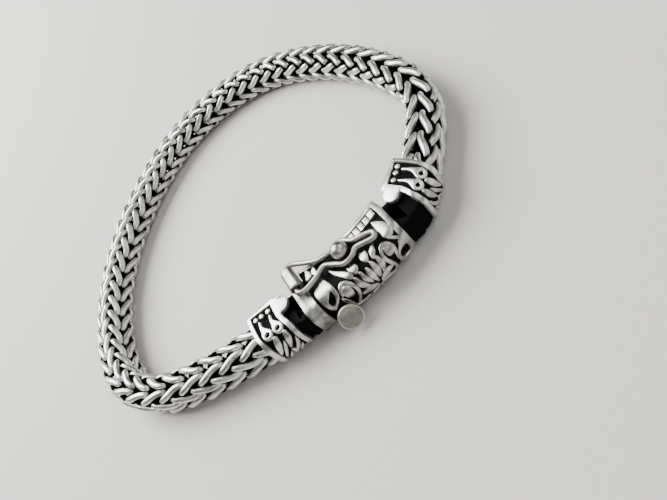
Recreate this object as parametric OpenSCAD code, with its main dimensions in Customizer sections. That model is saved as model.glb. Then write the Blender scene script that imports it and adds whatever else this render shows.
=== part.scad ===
// Woven chain bracelet, lying closed on its side with the clasp towards -Y.
// Two crossed sets of wire loops make the chain. Its ends sit in two end caps,
// which are hinged on upright pins to a box clasp and to the tongue that it holds.
// A figure of eight latch swings over a ball on the box, and a button frees the tongue.
// Z = 0 is the floor under the caps, and the loop is centred on X = 0, Y = 0.

/* [Chain] */
// Width of the woven chain from face to face
chain_w = 5.5; // [5:0.1:7]
// Diameter of the loop wire
wire_d = 0.82; // [0.7:0.01:1.0]
// Wire loops in each of the two crossed sets, the last one shortened
loops_per_set = 49; // [40:1:52]
// Share by which the weave is drawn out at its ends and closed up half way
end_stretch = 0.08; // [0:0.01:0.15]
// How far the chain droops from the caps to the far side
chain_sag = 0.6; // [0:0.05:0.6]
// Sides of the loop wire
wire_sides = 5; // [5:1:6]

/* [End caps] */
// Width of a cap across the chain, from the wrist side outwards
cap_t = 7.0; // [6.8:0.1:8]
// Height of a cap
cap_h = 6.8; // [6.6:0.1:8]
// Distance from the end of the clasp line to a cap's mouth
cap_mouth = 6.1; // [6:0.1:6.4]
// Depth of the chain inside the cap's mouth
chain_depth = 3.0; // [1:0.1:3.2]
// Turn of the right cap from the clasp line
right_cap_turn = 38; // [20:1:50]
// Turn of the left cap from the clasp line
left_cap_turn = 9; // [0:1:30]

/* [Clasp] */
// Length of the box
box_len = 15.7; // [12:0.1:20]
// Reach of the box's outer side from the clasp line at its ends
box_out = 3.65; // [3:0.05:4]
// Reach of the box's wrist side from the clasp line at its ends
box_in = 4.25; // [3.5:0.05:4.5]
// Height of the box
box_h = 6.4; // [5:0.1:8]
// How far the outer side of the box bows out half way
box_bow = 1.35; // [0:0.05:2]
// How far the wrist side of the box draws in half way
wrist_bow = 1.15; // [0:0.05:1.4]
// Rounding of the outer long edges
outer_round = 2.3; // [1:0.1:3]
// Rounding of the wrist side's long edges
inner_round = 0.6; // [0.2:0.1:1]
// Height of the cast relief over its ground
relief = 0.3; // [0.2:0.05:0.4]
// Wall of the box
box_wall = 1.0; // [0.8:0.1:1.4]
// Turn of the clasp line from the X axis
clasp_turn = -8; // [-20:1:20]

/* [Latch and button] */
// Diameter of the latch wire
latch_d = 0.82; // [0.6:0.02:1]
// Diameter of the latch's straight rod in its tube
rod_d = 0.92; // [0.7:0.02:1.1]
// Diameter of the latch's hinge tube
tube_d = 1.8; // [1.4:0.1:2]
// Diameter of the ball that the latch passes over
ball_d = 2.7; // [2:0.1:3]
// Diameter of the button's disc
disc_d = 3.9; // [3:0.1:5]
// Free travel of the button
button_travel = 0.5; // [0.3:0.1:0.8]

/* [Hinges] */
// Diameter of a hinge pin
pin_d = 1.0; // [0.8:0.1:1.4]
// Radius of the knuckle on a pin
knuckle_r = 1.3; // [1.1:0.1:1.6]
// Radius of the rounded link between the clasp and a cap
link_r = 2.7; // [2.2:0.1:2.8]
// Running gap round pins and latch wire
running_gap = 0.05; // [0.03:0.01:0.1]

/* [Hidden] */
$fn = 48;
mid_z = cap_h / 2;
clasp_at = [6.45, -30.68];
// Ends of the clasp line, from the middle of the box
right_end = 10.25;
left_end = -12.0;
// Hinge pin of a cap, in the cap's own frame
pin_at = [1.0, 1.6];
ear_r = 1.4;
ear_t = 0.85;
ear_skin = 0.25;
knuckle_h = cap_h - 2 * ear_t - 0.4;
link_end = cap_mouth - chain_depth - 0.35;
link_gap = 0.15;
seat_gap = 0.25;
cavity_in = box_in - wrist_bow - box_wall;

// Plan of the chain from the left cap to the right one, a row for each arc
// columns: length along the middle, turn to the right in degrees
ARCS = [
    [20.6, 16.2],
    [20.3, 65.6],
    [22.2, 30.6],
    [25.2, 32.1],
    [38.4, 78.5],
    [33.7, 36.1],
    [11.5, 40.6],
    [13.1, 13.3]];

// Ends of a cap in plan, from its outer side to its wrist side
// columns: across towards the wrist, front edge, mouth edge
CAP_PLAN = [
    [-3.6, 0.15, 6.05],
    [-2.7, 0.25, 6.15],
    [-1.75, 0.5, 6.3],
    [-0.85, 0.95, 6.5],
    [0.15, 1.35, 6.75],
    [2.1, 1.4, 7.0],
    [3.6, 1.4, 7.1]];

// A quarter of one wire loop, from its base to the top of its ear
// columns: share of the chain's width across, the same to the side, pitches ahead
QUARTER = [
    [0.424, 0.082, 0.03],
    [0.391, 0.296, 1.07],
    [0.210, 0.196, 1.255],
    [0.287, 0.000, 1.63]];

// Lengths of the last loop's ears in each set, as shares of the others'
LAST_EARS = [0.9, 0.8];

// Latch wire from the wrist side of its tube, round the ball and back
// columns: along the clasp line, towards the wrist, height over the clasp's middle
LATCH = [
    [-8.99, 5.15, 4.05],
    [-8.30, 5.55, 4.02],
    [-7.20, 5.05, 3.85],
    [-5.50, 3.50, 3.75],
    [-3.80, 2.20, 3.75],
    [-2.20, 1.80, 3.75],
    [-0.70, 2.15, 3.75],
    [0.70, 1.60, 3.75],
    [1.70, 0.35, 3.75],
    [3.80, -0.60, 3.75],
    [4.70, -1.35, 3.75],
    [4.20, -2.10, 3.75],
    [2.80, -1.60, 3.75],
    [1.35, -1.10, 3.75],
    [0.20, -1.75, 3.75],
    [-1.30, -1.75, 3.75],
    [-2.50, -0.50, 3.75],
    [-3.80, 0.60, 3.75],
    [-5.50, 0.10, 3.75],
    [-7.60, -0.35, 3.85],
    [-8.60, -0.25, 4.02],
    [-8.99, 0.20, 4.05]];
latch_steps = 3;

// Raised leaves, dots and curls of the box
// columns: kind, along the clasp line, towards the wrist, length, width, turn
TOP_RELIEF = [
    ["leaf", 6.0, -1.1, 3.8, 1.7, 100],
    ["leaf", 1.4, -2.4, 2.4, 1.3, 60],
    ["leaf", 2.9, -2.7, 2.2, 1.1, 115],
    ["leaf", -2.5, -2.2, 3.6, 1.0, -58],
    ["leaf", -0.9, -2.8, 2.2, 1.0, -62],
    ["leaf", -5.6, -2.0, 3.6, 2.6, -72],
    ["leaf", -6.4, 1.5, 1.9, 1.1, 80],
    ["leaf", -5.0, 1.6, 1.7, 0.8, 60],
    ["leaf", 4.4, -2.9, 1.4, 0.6, 160]];

// Raised pieces of the outer side
// columns: kind, along the clasp line, height over the middle, length, width, turn
SIDE_RELIEF = [
    ["curl", 4.7, 1.4, 1.4, 0.5, 0],
    ["leaf", 2.3, 1.3, 2.2, 1.0, 85],
    ["leaf", 0.8, 1.0, 2.0, 0.9, 70],
    ["leaf", 3.1, -0.6, 2.0, 0.8, 130],
    ["leaf", 1.5, -1.1, 2.0, 0.9, 40],
    ["leaf", -0.5, 1.5, 2.2, 0.9, 50],
    ["leaf", -1.1, -0.7, 2.4, 0.9, 70],
    ["curl", -3.2, 1.2, 1.4, 0.5, 0],
    ["dot", 6.1, -0.7, 1.45, 1.45, 0],
    ["dot", -2.3, -1.9, 0.5, 0.5, 0],
    ["dot", 0.1, -2.1, 0.5, 0.5, 0]];

// Right ends of the ladder's raised squares along the wrist side's top edge
LADDER = [6.3, 5.2, 4.2, 3.2, 2.2];

// Directions and lengths

function unit(v) = v / norm(v);

// Where each arc starts: length so far, heading, point
ARC_STARTS = [for (
    i = 0, s = 0, h = 180 - left_cap_turn + clasp_turn, p = chain_start();
    i < len(ARCS);
    p = arc_point(p, h, ARCS[i], ARCS[i][0]),
    s = s + ARCS[i][0],
    h = h - ARCS[i][1],
    i = i + 1) [s, h, p]];

chain_len = ARC_STARTS[len(ARCS) - 1][0] + ARCS[len(ARCS) - 1][0];
ear_reach = QUARTER[3][2] * LAST_EARS[1];
pitch = (chain_len - wire_d) / (loops_per_set - 0.5 + ear_reach);
loop_span = chain_len / pitch;
half_way = floor(loops_per_set / 2);

// Point of the clasp's plan in the plan of the whole
function from_clasp(p) = clasp_at + [
    p[0] * cos(clasp_turn) - p[1] * sin(clasp_turn),
    p[0] * sin(clasp_turn) + p[1] * cos(clasp_turn)];

function chain_start() =
    let (reach = cap_mouth - chain_depth)
    from_clasp([left_end - reach * cos(left_cap_turn), reach * sin(left_cap_turn)]);

// Point at length s of an arc that leaves p at heading h and turns right
function arc_point(p, h, arc, s) =
    let (turn = arc[1] / arc[0], r = 180 / PI / turn)
    p + r * [sin(h) - sin(h - turn * s), cos(h - turn * s) - cos(h)];

function arc_at(s, i = 0) =
    (i >= len(ARCS) - 1 || s < ARC_STARTS[i + 1][0]) ? i : arc_at(s, i + 1);

// Length along the chain of a place counted in pitches
function length_at(u) =
    wire_d / 2 + pitch * (u + end_stretch * loop_span / 2 / PI * sin(360 * u / loop_span));

// Point of the woven chain: q is across (outwards) and up from its middle
function chain_point(q, u) =
    let (
        s = length_at(u),
        a = ARC_STARTS[arc_at(s)],
        arc = ARCS[arc_at(s)],
        h = a[1] - arc[1] / arc[0] * (s - a[0]),
        p = arc_point(a[2], a[1], arc, s - a[0]),
        sag = chain_sag * pow(sin(180 * s / chain_len), 2))
    [p[0] - q[0] * sin(h), p[1] + q[0] * cos(h), mid_z - sag + q[1]];

// One closed loop: the quarter and its mirror images
SIDE = concat(QUARTER, [for (i = [2:-1:0]) [QUARTER[i][0], -QUARTER[i][1], QUARTER[i][2]]]);
LOOP = concat(SIDE, [for (q = SIDE) [-q[0], -q[1], q[2]]]);

// Points of loop i, lying across the chain in the first set and upright in the second
function loop_points(i, set) =
    let (ears = i == loops_per_set - 1 ? LAST_EARS[set] : 1)
    [for (q = LOOP) chain_point(
        (set == 0 ? [q[0], q[1]] : [q[1], q[0]]) * chain_w,
        i + set / 2 + q[2] * ears)];

// Frame of the wire at point b between a and c: two axes, bend direction, mitre
function wire_frame(a, b, c, side) =
    let (
        d0 = unit(b - a),
        d1 = unit(c - b),
        t = unit(d0 + d1),
        x = unit(cross(t, side)),
        y = cross(t, x),
        bend = norm(d1 - d0) < 0.001 ? x : unit(d1 - d0))
    [x, y, bend, min(2 / norm(d0 + d1), 1.2), t];

function wire_ring(p, f, r, sides) = [for (j = [0:sides - 1])
    let (o = r * (cos(360 * j / sides) * f[0] + sin(360 * j / sides) * f[1]))
    p + o + f[2] * (o * f[2]) * (f[3] - 1)];

// Steps by which the next ring is turned against this one
function ring_step(f, g, sides) =
    round(atan2(g[0] * f[1], g[0] * f[0]) * sides / 360) + 2 * sides;

// The two triangles of side j between ring a and ring b
function wire_faces(a, b, j, step, sides) =
    let (
        p = a * sides + j,
        q = a * sides + (j + 1) % sides,
        r = b * sides + (j - step + 4 * sides) % sides,
        s = b * sides + (j + 1 - step + 4 * sides) % sides)
    [[p, r, s], [p, s, q]];

// Closed wires, each a list of points with a side direction that none of its wire follows
module closed_wires(wires, sides_of, r, sides) {
    frames = [for (w = [0:len(wires) - 1]) let (p = wires[w], n = len(p))
        [for (i = [0:n - 1]) wire_frame(p[(i + n - 1) % n], p[i], p[(i + 1) % n], sides_of[w])]];
    n = len(wires[0]);
    points = [for (w = [0:len(wires) - 1]) for (i = [0:n - 1])
        each wire_ring(wires[w][i], frames[w][i], r, sides)];
    faces = [for (w = [0:len(wires) - 1]) for (i = [0:n - 1])
        let (
            next = (i + 1) % n,
            step = ring_step(frames[w][i], frames[w][next], sides))
        for (j = [0:sides - 1]) each wire_faces(w * n + i, w * n + next, j, step, sides)];
    polyhedron(points = points, faces = faces, convexity = 10);
}

// Chain

module chain_loops(first, last) {
    loops = [for (i = [first:last]) for (set = [0, 1]) loop_points(i, set)];
    bases = [for (i = [first:last]) for (set = [0, 1])
        set == 1 ? [0, 0, 1] : unit(loop_points(i, 0)[0] - loop_points(i, 0)[7])];
    closed_wires(loops, bases, wire_d / 2, wire_sides);
}

module chain_left() {
    color("silver") chain_loops(0, half_way - 1);
}

module chain_right() {
    color("silver") chain_loops(half_way, loops_per_set - 1);
}

// Flat shapes

module rounded_rect(x0, x1, y0, y1, r) {
    translate([x0 + r, y0]) square([x1 - x0 - 2 * r, y1 - y0]);
    translate([x0, y0 + r]) square([x1 - x0, y1 - y0 - 2 * r]);
    for (x = [x0 + r, x1 - r], y = [y0 + r, y1 - r]) translate([x, y]) circle(r = r);
}

// Section across a cap or the box: outer side at -y, its edges rounded more
module d_section(out, inn, h) {
    intersection() {
        rounded_rect(-out, inn, -h / 2, h / 2, inner_round);
        rounded_rect(-out, inn + 2 * outer_round, -h / 2, h / 2, outer_round);
    }
}

// A flat section in y and z drawn out along x
module along_x(x0, x1) {
    translate([x0, 0, 0]) rotate([90, 0, 90]) linear_extrude(x1 - x0) children();
}

module centred_rect(w, r) {
    rounded_rect(-w / 2, w / 2, -w / 2, w / 2, r);
}

module d_bar(x0, x1, out, inn, h) {
    along_x(x0, x1) d_section(out, inn, h);
}

module leaf(l, w) {
    r = (l * l + w * w) / 4 / w;
    intersection() {
        translate([0, r - w / 2]) circle(r = r);
        translate([0, w / 2 - r]) circle(r = r);
    }
}

// A curled stem: an open ring with a round bud
module curl(r, w) {
    difference() {
        circle(r = r);
        circle(r = r - w);
        translate([0, -r]) square([r, r]);
    }
    circle(r = r * 0.42);
}

module teardrop(l, r) {
    circle(r = r);
    polygon([[0, r], [0, -r], [l, -0.12], [l, 0.12]]);
}

module raised(kind, l, w) {
    if (kind == "leaf") leaf(l, w);
    if (kind == "curl") curl(l, w);
    if (kind == "dot") circle(r = l);
}

// End caps, in a frame with the clasp line's end at the origin, +x to the mouth
// and +y to the wrist

// Plan of a cap with both its ends drawn in by the inset
module cap_plan(inset) {
    polygon(concat(
        [for (r = CAP_PLAN) [r[1] + inset, r[0]]],
        [for (i = [len(CAP_PLAN) - 1:-1:0]) [CAP_PLAN[i][2] - inset, CAP_PLAN[i][0]]]));
}

module cap_shell(sink) {
    intersection() {
        d_bar(0, cap_mouth + 1.5, cap_t / 2 - sink, cap_t / 2, cap_h - 2 * sink);
        translate([0, 0, -cap_h]) linear_extrude(2 * cap_h) cap_plan(0);
    }
}

module cap_rims() {
    intersection() {
        cap_shell(0);
        union() {
            translate([0, 0, -cap_h]) linear_extrude(2 * cap_h) difference() {
                cap_plan(0);
                cap_plan(0.85);
            }
            translate([0, cap_t / 2 - 0.55, -cap_h]) cube([cap_mouth + 1.5, cap_t, 2 * cap_h]);
            linear_extrude(cap_h) cap_pattern();
            mirror([0, 0, 1]) linear_extrude(cap_h) cap_pattern();
            rotate([90, 0, 0]) linear_extrude(cap_t) cap_fan();
        }
    }
}

// Raised pattern of a cap's flat sides: three dots, two pierced drops and petals
module cap_pattern() {
    for (x = [3.3, 4.6, 5.7]) translate([x, 2.0]) circle(r = 0.42);
    for (x = [2.5, 4.45]) translate([x, -1.5]) difference() {
        rotate(75) teardrop(2.9, 0.8);
        circle(r = 0.28);
    }
}

// Raised petals of a cap's outer side
module cap_fan() {
    for (x = [2.5, 4.2]) for (s = [-1, 1])
        translate([x + 0.3, s * 1.1]) rotate(s * -70) leaf(2.2, 0.85);
    for (x = [3.2, 4.9]) translate([x, 0]) rotate(90) leaf(1.8, 0.5);
}

module cap_ear() {
    translate([0, 0, cap_h / 2 - ear_t]) linear_extrude(ear_t) {
        translate(pin_at) circle(r = ear_r);
        translate([pin_at[0], pin_at[1] - ear_r]) square([1.2, 2 * ear_r]);
    }
}

module cap() {
    difference() {
        union() {
            cap_shell(relief);
            cap_rims();
            cap_ear();
            mirror([0, 0, 1]) cap_ear();
        }
        // Seat of the chain and the hollow behind it
        along_x(cap_mouth - chain_depth - 0.15, cap_mouth + 2) centred_rect(chain_w + 2 * seat_gap, 2);
        along_x(-1, cap_mouth) centred_rect(chain_w - 0.6, 1.5);
        // Room for the link and its knuckle, and a blind hole for the pin
        link(link_gap);
        pin_rod(pin_d + 2 * running_gap, cap_h / 2 - ear_skin);
    }
}

module pin_rod(d, half) {
    translate([pin_at[0], pin_at[1], -half]) cylinder(d = d, h = 2 * half);
}

module hinge_pin() {
    pin_rod(pin_d, cap_h / 2 - ear_skin - running_gap);
}

module in_clasp() {
    translate([clasp_at[0], clasp_at[1], mid_z]) rotate(clasp_turn) children();
}

module at_right_cap() {
    in_clasp() translate([right_end, 0, 0]) rotate(right_cap_turn) children();
}

module at_left_cap() {
    in_clasp() translate([left_end, 0, 0]) mirror([1, 0, 0]) rotate(left_cap_turn) children();
}

module cap_left() {
    color("silver") at_left_cap() cap();
}

module cap_right() {
    color("silver") at_right_cap() cap();
}

module pin_left() {
    color("dimgray") at_left_cap() hinge_pin();
}

module pin_right() {
    color("dimgray") at_right_cap() hinge_pin();
}

// Link to a cap, drawn in the cap's frame: a round middle that fills the bend,
// a knuckle on the pin and a flat end inside the cap

module upright(r, gap) {
    translate([0, 0, -knuckle_h / 2 - gap]) cylinder(r = r + gap, h = knuckle_h + 2 * gap);
}

module link(gap) {
    upright(link_r, gap);
    translate(pin_at) upright(knuckle_r, gap);
}

module link_in_cap() {
    inside = chain_w / 2 - 0.3 - link_gap;
    difference() {
        union() {
            link(0);
            along_x(0, link_end) rounded_rect(-inside, inside, -inside, inside, 1.4);
        }
        link_bore();
    }
}

// Section of the bar between the clasp and a link
module link_section() {
    rounded_rect(-link_r - 0.5, link_r, -knuckle_h / 2, knuckle_h / 2, 1);
}

module link_bore() {
    pin_rod(pin_d + 2 * running_gap, cap_h);
}

// Clasp box, in the clasp's frame with +y to the wrist

function bow_radius(bow) = (box_len * box_len / 4 + bow * bow) / 2 / bow;

// Room on the wrist side of the box, drawn out into the box by the depth given
module wrist_room(depth) {
    r = bow_radius(wrist_bow);
    translate([0, box_in - wrist_bow + r, -box_h]) cylinder(r = r + depth, h = 2 * box_h, $fn = 200);
}

// Outer form of the box, its outer side and flat sides sunk by the depth given
module box_form(sink) {
    out = box_out + box_bow;
    r = bow_radius(box_bow);
    difference() {
        intersection() {
            d_bar(-box_len / 2, box_len / 2, out - sink, box_in + 1, box_h - 2 * sink);
            translate([0, r - out, -box_h]) cylinder(r = r - sink, h = 2 * box_h, $fn = 200);
        }
        wrist_room(0);
    }
}

module box_relief() {
    rim = 0.9;
    intersection() {
        box_form(0);
        union() {
            translate([box_len / 2 - rim, -2 * box_out, -box_h]) cube([rim, 4 * box_out, 2 * box_h]);
            wrist_room(0.7);
            for (x = LADDER) translate([x - 0.85, ladder_y(x - 0.4), 0]) cube([0.85, 1.15, box_h]);
            for (r = TOP_RELIEF) translate([r[1], r[2], 0]) rotate(r[5])
                linear_extrude(box_h) raised(r[0], r[3], r[4]);
            for (r = SIDE_RELIEF) translate([r[1], 0, r[2]]) rotate([90, 0, 0]) rotate(r[5])
                linear_extrude(2 * box_out) raised(r[0], r[3], r[4]);
        }
    }
}

// The ladder follows the wrist side
function ladder_y(x) = box_in - wrist_bow * (1 - pow(2 * x / box_len, 2)) - 2.35;

module box_cavity() {
    translate([-box_len / 2 - 1, -box_out + box_wall, -box_h / 2 + box_wall])
        cube([box_len + 1 - box_wall, cavity_in + box_out - box_wall, box_h - 2 * box_wall]);
}

module clasp_box() {
    color("silver") in_clasp() {
        difference() {
            union() {
                box_form(relief);
                box_relief();
                ball_and_stem();
                // Link to the right cap
                along_x(box_len / 2 - 0.5, right_end) link_section();
                translate([right_end, 0, 0]) rotate(right_cap_turn) link_in_cap();
            }
            box_cavity();
            translate([right_end, 0, 0]) rotate(right_cap_turn) link_bore();
            // Open slot for the button's stem
            translate([-box_len / 2 - 1, -2 * box_out, button_z - 0.75])
                cube([box_len / 2 + 1 + button_x + 0.75, 2 * box_out, 1.5]);
            // Pierced oval by the scroll
            translate([6.05, 0, -0.75]) rotate([90, 0, 0]) linear_extrude(2 * box_out) leaf(2.1, 1.3);
        }
    }
}

ball_at = [-0.60, 0.18];

module ball_and_stem() {
    translate([ball_at[0], ball_at[1], box_h / 2 + ball_d / 2 - 0.2]) sphere(d = ball_d);
    translate([ball_at[0], ball_at[1], box_h / 2 - box_wall / 2]) cylinder(d = 1.2, h = 1.2);
}

// Tongue: a folded spring in the box, a plain end band, a knuckle and the latch tube

tongue_gap = 0.25;
band_x0 = -10.3;
band_x1 = -box_len / 2 - 0.15;
tube_x = LATCH[0][0];
tube_z = LATCH[0][2];
tube_y0 = 0.75;
tube_len = 3.9;

module tongue() {
    leaf_t = 0.6;
    leaf_h = box_h - 2 * box_wall - 2 * tongue_gap;
    inn = cavity_in - tongue_gap;
    tip = box_len / 2 - box_wall - 1.2;
    color("silver") in_clasp() difference() {
        union() {
            d_bar(band_x0, band_x1, 4.2, 3.0, 5.9);
            // Saddle under the latch tube
            translate([tube_x - 0.7, tube_y0, 2.2]) cube([1.4, tube_len, 1.2]);
            translate([tube_x, tube_y0, tube_z]) rotate([-90, 0, 0]) cylinder(d = tube_d, h = tube_len);
            // Wrist side leaf, fold and sprung leaf
            translate([band_x1 - 0.5, inn - leaf_t, -leaf_h / 2]) cube([tip - band_x1 + 0.5, leaf_t, leaf_h]);
            translate([tip - leaf_t, -0.6, -leaf_h / 2]) cube([leaf_t, inn + 0.6, leaf_h]);
            translate([-4.2, -0.6, -leaf_h / 2]) cube([tip + 4.2, leaf_t, leaf_h]);
            // Link to the left cap
            along_x(left_end, band_x0 + 0.5) link_section();
            translate([left_end, 0, 0]) mirror([1, 0, 0]) rotate(left_cap_turn) link_in_cap();
        }
        translate([left_end, 0, 0]) mirror([1, 0, 0]) rotate(left_cap_turn) link_bore();
        translate([tube_x, tube_y0 - 1, tube_z]) rotate([-90, 0, 0])
            cylinder(d = rod_d + 2 * running_gap, h = tube_len + 2);
    }
}

// Latch, closed over the ball

// Smooth curve through the rows of the latch, a part t of the way after row i
function latch_point(i, t) =
    let (
        n = len(LATCH),
        a = LATCH[(i + n - 1) % n],
        b = LATCH[i],
        c = LATCH[(i + 1) % n],
        d = LATCH[(i + 2) % n])
    b + (c - a) * t / 2 + (2 * a - 5 * b + 4 * c - d) * t * t / 2 + (3 * b - a - 3 * c + d) * t * t * t / 2;

module safety_latch() {
    n = len(LATCH);
    r = latch_d / 2;
    wire = concat(
        [for (i = [0:n - 2]) for (k = [0:latch_steps - 1]) latch_point(i, k / latch_steps)],
        [LATCH[n - 1]]);
    color("silver") in_clasp() {
        translate([tube_x, LATCH[n - 1][1] + 0.2, tube_z]) rotate([-90, 0, 0])
            cylinder(d = rod_d, h = LATCH[0][1] - LATCH[n - 1][1] - 0.4);
        closed_wires([wire], [[0, 0, 1]], r, 6);
    }
}

// Button: a disc facing out and up on a stem through the slot, with a pad inside

button_x = -5.83;
button_z = -0.9;
disc_y = -5.95;
disc_tilt = 25;

module push_button() {
    stem_in = -1.3;
    disc_t = 0.5;
    color("silver") in_clasp() {
        translate([button_x, disc_y + 0.1, button_z]) rotate([-90, 0, 0])
            cylinder(d = 1.1, h = stem_in - disc_y - 0.1);
        translate([button_x, disc_y, button_z + 0.3]) rotate([90 - disc_tilt, 0, 0])
            translate([0, 0, -disc_t / 2]) cylinder(d = disc_d, h = disc_t);
        translate([button_x, stem_in - 0.5, button_z]) rotate([-90, 0, 0]) cylinder(d = 1.8, h = 0.5);
    }
}

chain_left();
chain_right();
cap_left();
cap_right();
pin_left();
pin_right();
clasp_box();
tongue();
safety_latch();
push_button();
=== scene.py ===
"""Woven silver bracelet: looks, light and camera over the frame of the part."""

import logging
import math
from collections.abc import Callable, Sequence
from dataclasses import dataclass, field
from enum import Enum
from functools import cache

import bmesh
import bpy
import numpy as np
from mathutils import Matrix, Vector


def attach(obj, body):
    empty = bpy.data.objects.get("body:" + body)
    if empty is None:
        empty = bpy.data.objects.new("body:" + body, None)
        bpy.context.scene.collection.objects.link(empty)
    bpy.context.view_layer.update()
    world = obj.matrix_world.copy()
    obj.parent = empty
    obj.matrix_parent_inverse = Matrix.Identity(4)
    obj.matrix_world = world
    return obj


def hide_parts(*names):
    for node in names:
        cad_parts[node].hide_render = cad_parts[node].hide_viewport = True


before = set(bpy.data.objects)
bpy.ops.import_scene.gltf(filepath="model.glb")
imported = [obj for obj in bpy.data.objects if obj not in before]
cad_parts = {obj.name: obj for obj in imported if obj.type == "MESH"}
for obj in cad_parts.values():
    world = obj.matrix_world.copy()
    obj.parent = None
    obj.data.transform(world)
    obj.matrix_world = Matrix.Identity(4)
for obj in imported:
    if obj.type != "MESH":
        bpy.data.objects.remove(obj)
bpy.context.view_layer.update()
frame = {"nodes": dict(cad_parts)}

log = logging.getLogger("bracelet")

Array = np.ndarray

# Metres in a millimetre: every size below is in millimetres
MM = 0.001

# Middle of the clasp in the part's plan, its turn in degrees and its height over the floor
CLASP_AT = (6.45, -30.68)
CLASP_TURN = -8.0
MID_Z = 3.4

# The two hinge pins along the clasp, and how far each cap turns away from it
RIGHT_END = 10.25
LEFT_END = -12.0
RIGHT_TURN = 38.0
LEFT_TURN = 9.0

# Raised work: where its flanks turn from black to bright, its foot in the ground, and the
# strips along that let it bend
FLANK = (0.05, 0.3)
FOOT = 0.12
STRIP_ALONG = 1.5

# Rounded edge of a rim, from its wall to its top: depth under the top, polish
RIM_EDGE = ((0.14, 0.8), (0.04, 1.0), (0.0, 1.0), (0.0, 1.0))
WALL_SHINE = 0.1


# Places and curves

def turned(x: Array, y: Array, degrees: float) -> tuple[Array, Array]:
    """Turn plan points about the origin.

    Args:
        x: along, a number or an array.
        y: across, a number or an array.
        degrees: turn, anticlockwise.
    Returns:
        The turned x and y.
    """
    c, s = math.cos(math.radians(degrees)), math.sin(math.radians(degrees))
    return x * c - y * s, x * s + y * c


def clasp_to_part(x: Array, y: Array, z: Array) -> tuple[Array, Array, Array]:
    """Take places on the clasp to the part's frame.

    Args:
        x: along the clasp.
        y: towards the wrist.
        z: up from its middle.
    Returns:
        x, y and z of the part.
    """
    px, py = turned(x, y, CLASP_TURN)
    return px + CLASP_AT[0], py + CLASP_AT[1], z + MID_Z


def right_cap_to_part(x: Array, y: Array, z: Array) -> tuple[Array, Array, Array]:
    """Take places on the right cap to the part's frame.

    Args:
        x: from the hinge pin towards the chain.
        y: towards the wrist.
        z: up from the cap's middle.
    Returns:
        x, y and z of the part.
    """
    cx, cy = turned(x, y, RIGHT_TURN)
    return clasp_to_part(cx + RIGHT_END, cy, z)


def left_cap_to_part(x: Array, y: Array, z: Array) -> tuple[Array, Array, Array]:
    """Take places on the left cap, the right one's mirror image, to the part's frame.

    Args:
        x: from the hinge pin towards the chain.
        y: towards the wrist.
        z: up from the cap's middle.
    Returns:
        x, y and z of the part.
    """
    cx, cy = turned(x, y, LEFT_TURN)
    return clasp_to_part(LEFT_END - cx, cy, z)


def smoothstep(lo: float, hi: float, v: Array) -> Array:
    """Ease from 0 to 1.

    Args:
        lo: where the ramp leaves 0.
        hi: where it reaches 1.
        v: places along it.
    Returns:
        Its height at each place.
    """
    t = np.clip((v - lo) / (hi - lo), 0.0, 1.0)
    return t * t * (3 - 2 * t)


def rounded_path(points: Sequence, steps: int, closed: bool = False) -> Array:
    """Draw a Catmull-Rom curve through rows of numbers.

    Args:
        points: rows, all of one length.
        steps: new rows for each given one.
        closed: whether the last row leads back to the first.
    Returns:
        The rows of the curve.
    """
    p = np.array(points, float)
    n = len(p)
    rows = []
    for i in range(n if closed else n - 1):
        ids = np.arange(i - 1, i + 3)
        a, b, c, d = p[ids % n if closed else np.clip(ids, 0, n - 1)]
        for k in range(steps):
            t = k / steps
            rows.append(b + (c - a) * t / 2 + (2 * a - 5 * b + 4 * c - d) * t * t / 2
                        + (3 * b - a - 3 * c + d) * t ** 3 / 2)
    if not closed:
        rows.append(p[-1])
    return np.array(rows)


# Finishes

def linear(code: str) -> tuple[float, ...]:
    """Turn an sRGB hex colour to a linear one.

    Args:
        code: the colour, with its leading sign.
    Returns:
        Red, green, blue and alpha.
    """
    vals = [int(code[i:i + 2], 16) / 255 for i in (1, 3, 5)]
    vals = [v / 12.92 if v <= 0.04045 else ((v + 0.055) / 1.055) ** 2.4 for v in vals]
    return (*vals, 1.0)


def add_node(tree: bpy.types.NodeTree, kind: str, place: tuple, settings: dict | None = None,
             **inputs: object) -> bpy.types.Node:
    """Add a shader node with its settings and links.

    Args:
        tree: where it goes.
        kind: its type.
        place: where it stands in the editor.
        settings: its own properties by name.
        inputs: a value, or an output to link, for each input: by its name, with an
            underscore for a blank, or by its number after an underscore.
    Returns:
        The node.
    """
    node = tree.nodes.new(kind)
    node.location = place
    for key, value in (settings or {}).items():
        setattr(node, key, value)
    for key, value in inputs.items():
        socket = node.inputs[int(key[1:]) if key[0] == "_" else key.replace("_", " ")]
        if isinstance(value, bpy.types.NodeSocket):
            tree.links.new(value, socket)
        else:
            socket.default_value = value
    return node


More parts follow.
